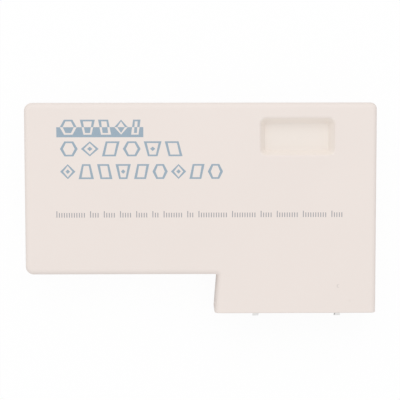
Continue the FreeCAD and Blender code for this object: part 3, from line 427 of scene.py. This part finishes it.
def solder_mask():
    """Green lacquer over woven glass, slightly wavy."""
    base = finishes().mask
    surface = Surface("Green Solder Mask", roughness=0.28)
    threads = []
    for direction in ("X", "Y"):
        wave = surface.add("ShaderNodeTexWave", bands_direction=direction)
        surface.give(wave.inputs["Scale"], WEAVE_SCALE)
        surface.give(wave.inputs["Distortion"], WEAVE_WANDER)
        surface.give(wave.inputs["Vector"], surface.place)
        threads.append(wave.outputs["Fac"])
    weave = surface.work_out("MAXIMUM", *threads)
    clouds = surface.noise(size=0.012, detail=3.0)
    tone = surface.mixed(clouds, toned(base, 0.85), toned(base, 1.2))
    surface.paint(surface.mixed(surface.ranged(weave, 0.5, 1.0, 0.0, 0.35), tone, toned(base, 0.7)))
    surface.vary_roughness(surface.between(clouds, 0.22, 0.36))
    surface.bump(weave, height=0.000008)
    return surface.material


def sleeve_film():
    """Shrunk film over a can: dark blue and glossy, with faint upright waves."""
    base = finishes().sleeve
    surface = Surface("Shrunk Sleeve", roughness=0.25)
    waves = surface.noise(size=0.0012, place=surface.stretched(x=1.0, y=1.0, z=0.2))
    surface.paint(surface.mixed(waves, toned(base, 0.8), toned(base, 1.3)))
    surface.vary_roughness(surface.between(waves, 0.2, 0.34))
    surface.bump(waves, height=0.00002)
    return surface.material


def dress(material, *names):
    """Give CAD nodes their material."""
    for name in names:
        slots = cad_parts[name].material_slots
        if not slots:
            raise RuntimeError("CAD node %s has no material slot" % name)
        for slot in slots:
            slot.material = material


# Ink shapes

# Corners of each simple shape, anticlockwise, in shares of its width and height from its middle
SHAPES = {
    "lozenge": ((0.5, 0), (0, 0.5), (-0.5, 0), (0, -0.5)),
    "hexagon": ((0.5, 0), (0.25, 0.5), (-0.25, 0.5), (-0.5, 0), (-0.25, -0.5), (0.25, -0.5)),
    "slanted": ((0.28, -0.5), (0.5, 0.5), (-0.28, 0.5), (-0.5, -0.5)),
    "leaning": ((0.5, -0.5), (0.28, 0.5), (-0.5, 0.5), (-0.28, -0.5)),
    "tapered": ((0.5, -0.5), (0.27, 0.5), (-0.27, 0.5), (-0.5, -0.5)),
    "flared": ((0.27, -0.5), (0.5, 0.5), (-0.5, 0.5), (-0.27, -0.5)),
    "upright": ((0.5, -0.5), (0.5, 0.5), (-0.5, 0.5), (-0.5, -0.5)),
}
# The band's shapes and the width of each against the others
BAND_SHAPES = (("hexagon", 1.25), ("flared", 1.1), ("leaning", 0.95), ("lozenge", 1.0), ("slanted", 0.7))
SECOND_ROW = ("hexagon", "lozenge", "slanted", "hexagon", "flared", "leaning")
THIRD_ROW = ("lozenge", "tapered", "leaning", "flared", "slanted", "hexagon", "lozenge", "slanted", "hexagon")
# Shapes of the outlined rows that have a small solid core
CORED_SHAPES = ("lozenge", "flared")
# Size of a core against its shape
CORE_SHARE = 0.3
# Gap between two shapes against the width of an upright stroke
SHAPE_GAP = 1.1
# Ticks in each group of the small rule
RULE_GROUPS = (12, 4, 5, 5, 5, 3, 8, 3, 12, 10, 5, 9, 10, 5)


def outline_points(kind, middle, width, height):
    """Corner points of a simple shape round a middle, anticlockwise."""
    return [Vector((middle[0] + x * width, middle[1] + y * height, 0)) for x, y in SHAPES[kind]]


def outline_pair(kind, middle, width):
    """The outer and the inner outline of one outlined shape."""
    place = printing()
    inner_width, inner_height = width - 2 * place.upright_stroke, place.shape_height - 2 * place.level_stroke
    outer = outline_points(kind, middle, width, place.shape_height)
    return outer, outline_points(kind, middle, inner_width, inner_height)


def spread_row(shapes, left, right):
    """Set shapes side by side between two ends: kind, middle and width of each."""
    gap = printing().upright_stroke * SHAPE_GAP
    total = sum(weight for kind, weight in shapes)
    room = right - left - gap * (len(shapes) - 1)
    x, spread = left, []
    for kind, weight in shapes:
        width = room * weight / total
        spread.append((kind, x + width / 2, width))
        x += width + gap
    return spread


def split_outline(points, level):
    """A convex outline's part above a level, from right to left, and its part below, from left to right."""
    first = next(index for index in range(len(points)) if points[index].y > level >= points[index - 1].y)
    turned = points[first:] + points[:first]
    above = [point for point in turned if point.y > level]
    below = [point for point in turned if point.y < level]

    def crossing(start, end):
        return start.lerp(end, (level - start.y) / (end.y - start.y))

    right, left = crossing(turned[-1], above[0]), crossing(above[-1], turned[len(above)])
    return [right, *above, left], [left, *below, right]


def add_plate(mesh, points, foot, top):
    """Add a closed flat plate with the given outline."""
    lower = [mesh.verts.new((point.x, point.y, foot)) for point in points]
    upper = [mesh.verts.new((point.x, point.y, top)) for point in points]
    mesh.faces.new(upper)
    mesh.faces.new(list(reversed(lower)))
    count = len(points)
    for index in range(count):
        after = (index + 1) % count
        mesh.faces.new((lower[index], lower[after], upper[after], upper[index]))


def add_ring(mesh, outer, inner, foot, top):
    """Add a closed flat ring between two outlines with equally many corners."""
    rings = [[mesh.verts.new((point.x, point.y, level)) for point in points]
             for points, level in ((outer, foot), (outer, top), (inner, foot), (inner, top))]
    outer_low, outer_high, inner_low, inner_high = rings
    count = len(outer)
    for index in range(count):
        after = (index + 1) % count
        mesh.faces.new((outer_low[index], outer_low[after], outer_high[after], outer_high[index]))
        mesh.faces.new((outer_high[index], outer_high[after], inner_high[after], inner_high[index]))
        mesh.faces.new((inner_high[index], inner_high[after], inner_low[after], inner_low[index]))
        mesh.faces.new((inner_low[index], inner_low[after], outer_low[after], outer_low[index]))


def finish_piece(name, mesh, material):
    """Turn the made mesh into a piece that rides on the cartridge."""
    bmesh.ops.recalc_face_normals(mesh, faces=mesh.faces)
    many_sided = [face for face in mesh.faces if len(face.verts) > 4]
    bmesh.ops.triangulate(mesh, faces=many_sided, ngon_method="EAR_CLIP")
    data = bpy.data.meshes.new(name)
    mesh.to_mesh(data)
    mesh.free()
    data.materials.append(material)
    piece = bpy.data.objects.new(name, data)
    bpy.context.scene.collection.objects.link(piece)
    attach(piece, "root")


def ink_levels():
    """The ink's underside lies just inside the face, and its top just above it."""
    film = printing().film
    return FACE_LEVEL - film, FACE_LEVEL + film


def build_band(ink):
    """The blue band. Its shapes are inked outlines above its top side, and are left out of it below."""
    place = printing()
    foot, top = ink_levels()
    mesh = bmesh.new()
    edge = [Vector((place.band_left, place.band_foot, 0)), Vector((place.band_right, place.band_foot, 0)),
            Vector((place.band_right, place.band_top, 0))]
    for kind, x, width in reversed(spread_row(BAND_SHAPES, place.left, place.band_shapes_right)):
        outer, inner = outline_pair(kind, (x, place.band_top), width)
        outer_above, outer_below = split_outline(outer, place.band_top)
        inner_above, inner_below = split_outline(inner, place.band_top)
        add_plate(mesh, outer_above + list(reversed(inner_above)), foot, top)
        add_plate(mesh, inner_below, foot, top)
        edge += reversed(outer_below)
    edge.append(Vector((place.band_left, place.band_top, 0)))
    add_plate(mesh, edge, foot, top)
    finish_piece("print_band", mesh, ink)


def build_outlined_row(name, kinds, right, level, ink):
    """A row of outlined simple shapes, some with a small solid core."""
    place = printing()
    foot, top = ink_levels()
    mesh = bmesh.new()
    for kind, x, width in spread_row([(kind, 1.0) for kind in kinds], place.left, right):
        outer, inner = outline_pair(kind, (x, level), width)
        add_ring(mesh, outer, inner, foot, top)
        if kind in CORED_SHAPES:
            core = outline_points("lozenge", (x, level), width * CORE_SHARE, place.shape_height * CORE_SHARE)
            add_plate(mesh, core, foot, top)
    finish_piece(name, mesh, ink)


def build_rule(ink):
    """The small rule: fine upright ticks in groups. The first tick of a group is taller."""
    place = printing()
    foot, top = ink_levels()
    mesh = bmesh.new()
    steps = sum(RULE_GROUPS) - len(RULE_GROUPS) + place.group_gap * (len(RULE_GROUPS) - 1)
    step = (place.rule_right - place.rule_left - place.tick_width) / steps
    x = place.rule_left + place.tick_width / 2
    for count in RULE_GROUPS:
        for tick in range(count):
            height = place.tick_height if tick else place.tall_tick
            middle = (x + tick * step, place.rule_foot + height / 2)
            add_plate(mesh, outline_points("upright", middle, place.tick_width, height), foot, top)
        x += (count - 1 + place.group_gap) * step
    finish_piece("print_rule", mesh, ink)


# Stage

def set_camera(context):
    """A camera that looks down at the face from a little below the middle of the picture."""
    stage = staging()
    data = bpy.data.cameras.new("Camera")
    data.lens = stage.lens
    camera = bpy.data.objects.new("Camera", data)
    context.scene.collection.objects.link(camera)
    turn = Euler((stage.tilt, stage.lean, stage.roll), "XYZ")
    camera.rotation_euler = turn
    aim = Vector((stage.aim_x, stage.aim_y, FACE_LEVEL))
    camera.location = aim + turn.to_matrix() @ Vector((0, 0, stage.distance))
    context.scene.camera = camera


def set_lamps(context):
    """Even light from all round, weaker from the sides, and one large soft lamp at the top side."""
    stage = staging()
    world = bpy.data.worlds.new("Studio")
    world.use_nodes = True
    wiring = Wiring(world.node_tree)
    sideways = wiring.split(wiring.add("ShaderNodeTexCoord").outputs["Generated"])["X"]
    dimmed = wiring.work_out("MULTIPLY_ADD", wiring.work_out("ABSOLUTE", sideways),
                             -stage.ambient * stage.side_dim, stage.ambient)
    fallen = wiring.work_out("MULTIPLY_ADD", sideways, -stage.ambient * stage.side_fall, dimmed)
    light = wiring.plain("ShaderNodeBackground", WHITE, fallen)
    seen = wiring.plain("ShaderNodeBackground", WHITE, 1.0)
    output = wiring.add("ShaderNodeOutputWorld")
    wiring.give(output.inputs["Surface"], wiring.mixed_shaders(wiring.seen_rays(), light, seen))
    context.scene.world = world

    data = bpy.data.lights.new("Key", "AREA")
    data.shape = "RECTANGLE"
    data.size, data.size_y = stage.key_width, stage.key_height
    data.energy = stage.key
    lamp = bpy.data.objects.new("Key", data)
    context.scene.collection.objects.link(lamp)
    lamp.location = stage.key_place
    lamp.rotation_euler = (-lamp.location).to_track_quat("-Z", "Y").to_euler()


def floor_paper():
    """White paper that takes a faint shadow where it is seen, and throws less light back at the cartridge."""
    stage = staging()
    material = bpy.data.materials.new("White Floor")
    material.use_nodes = True
    wiring = Wiring(material.node_tree)
    lit = wiring.plain("ShaderNodeBsdfDiffuse", toned(WHITE, stage.paper))
    glow = wiring.plain("ShaderNodeEmission", WHITE, 1.0)
    thrown = wiring.plain("ShaderNodeBsdfDiffuse", toned(WHITE, stage.bounce))
    paper = wiring.mixed_shaders(stage.paper_glow, lit, glow)
    output = wiring.add("ShaderNodeOutputMaterial")
    wiring.give(output.inputs["Surface"], wiring.mixed_shaders(wiring.seen_rays(), thrown, paper))
    return material


def lay_floor(context):
    """A plain white floor just under the cartridge."""
    stage = staging()
    half = stage.floor_size / 2
    mesh = bpy.data.meshes.new("Floor")
    corners = [(-half, -half, 0), (half, -half, 0), (half, half, 0), (-half, half, 0)]
    mesh.from_pydata(corners, [], [(0, 1, 2, 3)])
    mesh.materials.append(floor_paper())
    floor = bpy.data.objects.new("Floor", mesh)
    floor.location.z = CAD_BOX[0][2] - stage.floor_gap
    context.scene.collection.objects.link(floor)


# Operators: one for each piece or group of like pieces

class CARTRIDGE_OT_shells(bpy.types.Operator):
    """Finish both moulded shells in matt ivory plastic"""
    bl_idname = "cartridge.shells"
    bl_label = "Finish Shells"

    def execute(self, context):
        dress(moulded_ivory(), "front_case", "back_case")
        return {"FINISHED"}


class CARTRIDGE_OT_screws(bpy.types.Operator):
    """Finish the case screws in zinc"""
    bl_idname = "cartridge.screws"
    bl_label = "Finish Screws"

    def execute(self, context):
        zinc = plated_metal("Zinc Plated Steel", finishes().zinc, roughness=0.32, stretch=(1, 1, 6))
        dress(zinc, "case_screws")
        return {"FINISHED"}


class CARTRIDGE_OT_earth_strip(bpy.types.Operator):
    """Finish the earthing strip in nickel"""
    bl_idname = "cartridge.earth_strip"
    bl_label = "Finish Earthing Strip"

    def execute(self, context):
        look = finishes()
        # The dark spot on one tongue is a painted shadow
        nickel = plated_metal("Nickel Plated Steel", look.nickel, roughness=0.34, stretch=(8, 1, 1),
                              painted_shadow=look.painted_shadow)
        dress(nickel, "earth_strip")
        return {"FINISHED"}


class CARTRIDGE_OT_board(bpy.types.Operator):
    """Finish the circuit board and its gold contacts"""
    bl_idname = "cartridge.board"
    bl_label = "Finish Circuit Board"

    def execute(self, context):
        dress(solder_mask(), "circuit_board")
        gold = plated_metal("Gold Plate", finishes().gold, roughness=0.24, stretch=(1, 6, 1))
        dress(gold, "front_contacts", "back_contacts")
        return {"FINISHED"}


class CARTRIDGE_OT_chips(bpy.types.Operator):
    """Finish the chips' moulded bodies and their tinned leads"""
    bl_idname = "cartridge.chips"
    bl_label = "Finish Chips"

    def execute(self, context):
        chips = ("rom_a", "rom_b", "latch", "buffer", "decoder", "gate")
        moulding = moulded_dark("Chip Moulding", finishes().moulding, roughness=0.5, grain=0.00025)
        dress(moulding, *[chip + "_body" for chip in chips])
        tin = plated_metal("Tinned Leads", finishes().tin, roughness=0.3, stretch=(1, 1, 4))
        dress(tin, *[chip + "_leads" for chip in chips])
        return {"FINISHED"}


class CARTRIDGE_OT_small_parts(bpy.types.Operator):
    """Finish the chip capacitors, the chip resistors and the supply capacitor"""
    bl_idname = "cartridge.small_parts"
    bl_label = "Finish Small Parts"

    def execute(self, context):
        look = finishes()
        dress(moulded_dark("Fired Ceramic", look.ceramic, roughness=0.45, grain=0.0002), "chip_capacitors")
        dress(moulded_dark("Resistor Glaze", look.glaze, roughness=0.35, grain=0.0002), "chip_resistors")
        ends = plated_metal("Tinned Ends", look.tin, roughness=0.28, stretch=(1, 1, 1))
        dress(ends, "chip_capacitor_ends", "chip_resistor_ends", "tank_capacitor_leads")
        dress(sleeve_film(), "tank_capacitor")
        dress(moulded_dark("Moulded Rubber", look.rubber, roughness=0.7, grain=0.0003), "tank_capacitor_bung")
        return {"FINISHED"}


class CARTRIDGE_OT_print(bpy.types.Operator):
    """Print the band, the two rows of outlined shapes and the small ticked rule on the face"""
    bl_idname = "cartridge.print"
    bl_label = "Print Face"

    def execute(self, context):
        look, place = finishes(), printing()
        ink = printed_ink("Blue Grey Ink", look.ink)
        build_band(ink)
        build_outlined_row("print_second_row", SECOND_ROW, place.second_right, place.second_row, ink)
        build_outlined_row("print_third_row", THIRD_ROW, place.third_right, place.third_row, ink)
        build_rule(printed_ink("Grey Ink", look.rule_ink))
        return {"FINISHED"}


class CARTRIDGE_OT_stage(bpy.types.Operator):
    """Set up the camera, the lamps and the plain white floor"""
    bl_idname = "cartridge.stage"
    bl_label = "Set Up Stage"

    def execute(self, context):
        set_camera(context)
        set_lamps(context)
        lay_floor(context)
        context.scene.view_settings.view_transform = "Standard"
        return {"FINISHED"}


OPERATORS = (
    CARTRIDGE_OT_shells, CARTRIDGE_OT_screws, CARTRIDGE_OT_earth_strip, CARTRIDGE_OT_board,
    CARTRIDGE_OT_chips, CARTRIDGE_OT_small_parts, CARTRIDGE_OT_print, CARTRIDGE_OT_stage,
)
GROUPS = (
    ("cartridge_finishes", CartridgeFinishes),
    ("cartridge_print", CartridgePrint),
    ("cartridge_stage", CartridgeStage),
)


class CARTRIDGE_PT_panel(bpy.types.Panel):
    """Lists the cartridge's sizes, colours and steps"""
    bl_idname = "CARTRIDGE_PT_panel"
    bl_label = "Cartridge"
    bl_space_type = "VIEW_3D"
    bl_region_type = "UI"
    bl_category = "Cartridge"

    def draw(self, context):
        for attribute, group in GROUPS:
            box = self.layout.box()
            for name in group.__annotations__:
                box.prop(getattr(context.scene, attribute), name)
        for operator in OPERATORS:
            self.layout.operator(operator.bl_idname)


def register():
    for attribute, group in GROUPS:
        bpy.utils.register_class(group)
        setattr(bpy.types.Scene, attribute, PointerProperty(type=group))
    for operator in OPERATORS:
        bpy.utils.register_class(operator)
    bpy.utils.register_class(CARTRIDGE_PT_panel)


def unregister():
    bpy.utils.unregister_class(CARTRIDGE_PT_panel)
    for operator in reversed(OPERATORS):
        bpy.utils.unregister_class(operator)
    for attribute, group in reversed(GROUPS):
        delattr(bpy.types.Scene, attribute)
        bpy.utils.unregister_class(group)


def main():
    """Run every step in order."""
    register()
    for operator in OPERATORS:
        step = operator.bl_idname.split(".")[1]
        if getattr(bpy.ops.cartridge, step)() != {"FINISHED"}:
            raise RuntimeError("step %s didn't finish" % step)
    bpy.context.view_layer.update()


if __name__ == "__main__":
    main()
